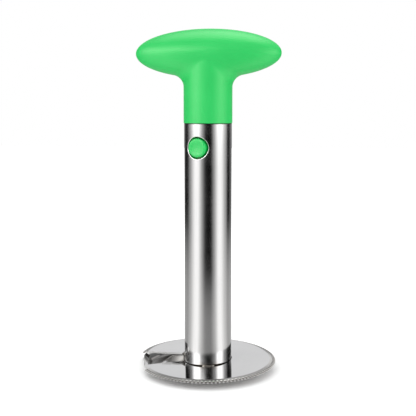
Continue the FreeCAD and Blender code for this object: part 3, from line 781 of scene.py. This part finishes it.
def tent_walls(shader, turn, radius, height):
    """The tent's wall and floor, in bands round the tool; turn is in degrees from the camera."""
    aside = shader.maths("ABSOLUTE", turn)

    # The floor's own tone reaches further out at the sides than in front.
    fade_end = shader.remap(aside, 60, 80, 0.40, 0.85)
    far = shader.smooth(radius, 0.12, fade_end)
    far = shader.maths("MAXIMUM", far, shader.remap(height, 0.001, 0.05))
    wall = shader.blend(far, band_ramp(shader, turn, 2), band_ramp(shader, turn, 1))

    # The blade mirrors the wall a little higher up, where the bright bands are narrower.
    narrower = shader.product(shader.smooth(wall, 0.45, 1.35, 0.42, 1.0),
                              shader.smooth(aside, 114, 126, 1.0, 0.15))
    narrow = shader.patch(height, *MIRRORED_HEIGHTS)
    wall = shader.product(wall, shader.blend(narrow, 1.0, narrower),
                          shader.smooth(height, 0.08, 0.26, 1.0, 2.1))

    # High up on the right it is dimmer, and at the grip's height it is lighter at the sides.
    right = shader.product(shader.smooth(turn, 10, 35), shader.smooth(height, 0.28, 0.42))
    wall = shader.product(wall, shader.remap(right, 0.0, 1.0, 1.0, 0.5))
    rear = shader.product(shader.smooth(aside, 85, 108), shader.patch(height, *REAR_HEIGHTS))
    wall = shader.maths("MAXIMUM", wall, shader.product(rear, REAR_GLOW))

    # Behind the tool it is white from a little above the floor, and dims higher up.
    behind = shader.product(shader.smooth(aside, 154, 162), shader.smooth(height, 0.14, 0.19))
    return shader.blend(behind, wall, shader.smooth(height, 0.38, 0.60, 0.9, 0.45))


def tent_roof(shader, across, depth, radius):
    """The roof, dim over the camera and bright over the tool, the more so on the right."""
    turn = math.radians(CAMERA_TURN)
    back = shader.maths("ADD", shader.product(depth, math.cos(turn)),
                        shader.product(across, math.sin(turn)))
    above = shader.product(shader.smooth(radius, 0.72, 0.38, 0.45, 2.5),
                           shader.smooth(across, -0.35, 0.05, 0.72, 1.15))
    return shader.blend(shader.smooth(back, -0.42, -0.22), 0.25, above)


def tent_material():
    """A glow that depends on where the tent's cloth is."""
    material, shader = bare_material("light_tent")
    across, depth, height = shader.parts(shader.node("ShaderNodeNewGeometry").outputs["Position"])
    radius = shader.length(across, depth)
    turn = shader.maths("DEGREES", shader.maths("ARCTAN2", across, shader.product(depth, -1.0)))
    turn = shader.maths("SUBTRACT", turn, CAMERA_TURN)
    walls = tent_walls(shader, turn, radius, height)
    roof = tent_roof(shader, across, depth, radius)
    tone = shader.blend(shader.smooth(height, TENT_WALL, TENT_WALL + 0.1), walls, roof)

    # A tall soft box on the left shines on the grip alone, which mirrors what is above it.
    box = shader.product(shader.patch(turn, *SOFT_BOX_ANGLES),
                         shader.patch(height, *SOFT_BOX_HEIGHTS), SOFT_BOX_GLOW)
    glow = shader.node("ShaderNodeEmission")
    shader.feed(glow.inputs["Strength"], shader.maths("MAXIMUM", tone, box))
    show_surface(shader, glow)
    return material


def make_tent():
    """A tent round the whole set, seen only in reflections: floor, wall and domed roof."""
    rings = [(radius, TENT_LIFT) for radius in TENT_FLOOR_RINGS]
    rings += [(TENT_RADIUS, TENT_WALL)] + TENT_DOME_RINGS
    points = [from_camera(360 * i / TENT_SIDES, radius, height)
              for radius, height in rings for i in range(TENT_SIDES)]
    tent = mesh_object("light_tent", points, ring_faces(len(rings), TENT_SIDES), tent_material())
    for ray in ("camera", "diffuse", "transmission", "volume_scatter", "shadow"):
        setattr(tent, "visible_" + ray, False)


def make_lamp(name, angle, brightness, distance=BOX_DISTANCE, height=BOX_HEIGHT, size=BOX_SIZE,
              aim_height=BOX_HEIGHT):
    """A soft box that faces the tool; its brightness is what a mirror would show of it."""
    wide, tall = size
    light = bpy.data.lights.new(name, "AREA")
    light.shape = "RECTANGLE"
    light.size = wide
    light.size_y = tall
    light.energy = brightness * math.pi * wide * tall
    lamp = bpy.data.objects.new(name, light)
    bpy.context.scene.collection.objects.link(lamp)
    lamp.location = from_camera(angle, distance, height)
    aim = Vector((0, 0, aim_height)) - lamp.location
    lamp.rotation_euler = aim.to_track_quat("-Z", "Y").to_euler()
    lamp.visible_camera = False
    lamp.visible_glossy = False


def make_stage():
    light_world()
    make_floor()
    make_tent()
    make_lamp("box_left", -57, 0.9)
    make_lamp("box_right", 70, 0.95)
    make_lamp("box_top", 180, 0.9, distance=0.25, height=0.95, size=(1.0, 0.6), aim_height=0.2)


def make_camera():
    data = bpy.data.cameras.new("camera")
    data.sensor_width = SENSOR_WIDTH
    data.lens = FOCAL_PIXELS / FRAME_PIXELS * SENSOR_WIDTH
    data.shift_y = CAMERA_SHIFT
    data.clip_start = 0.01
    data.clip_end = 20.0
    camera = bpy.data.objects.new("camera", data)
    bpy.context.scene.collection.objects.link(camera)
    camera.location = from_camera(0, CAMERA_DISTANCE, CAMERA_HEIGHT)
    camera.rotation_euler = (math.radians(90 - CAMERA_PITCH), 0, math.radians(CAMERA_TURN))
    bpy.context.scene.camera = camera


dress_nodes()
make_beads()
make_spring()
make_stage()
make_camera()
bpy.context.scene.view_settings.view_transform = "Standard"
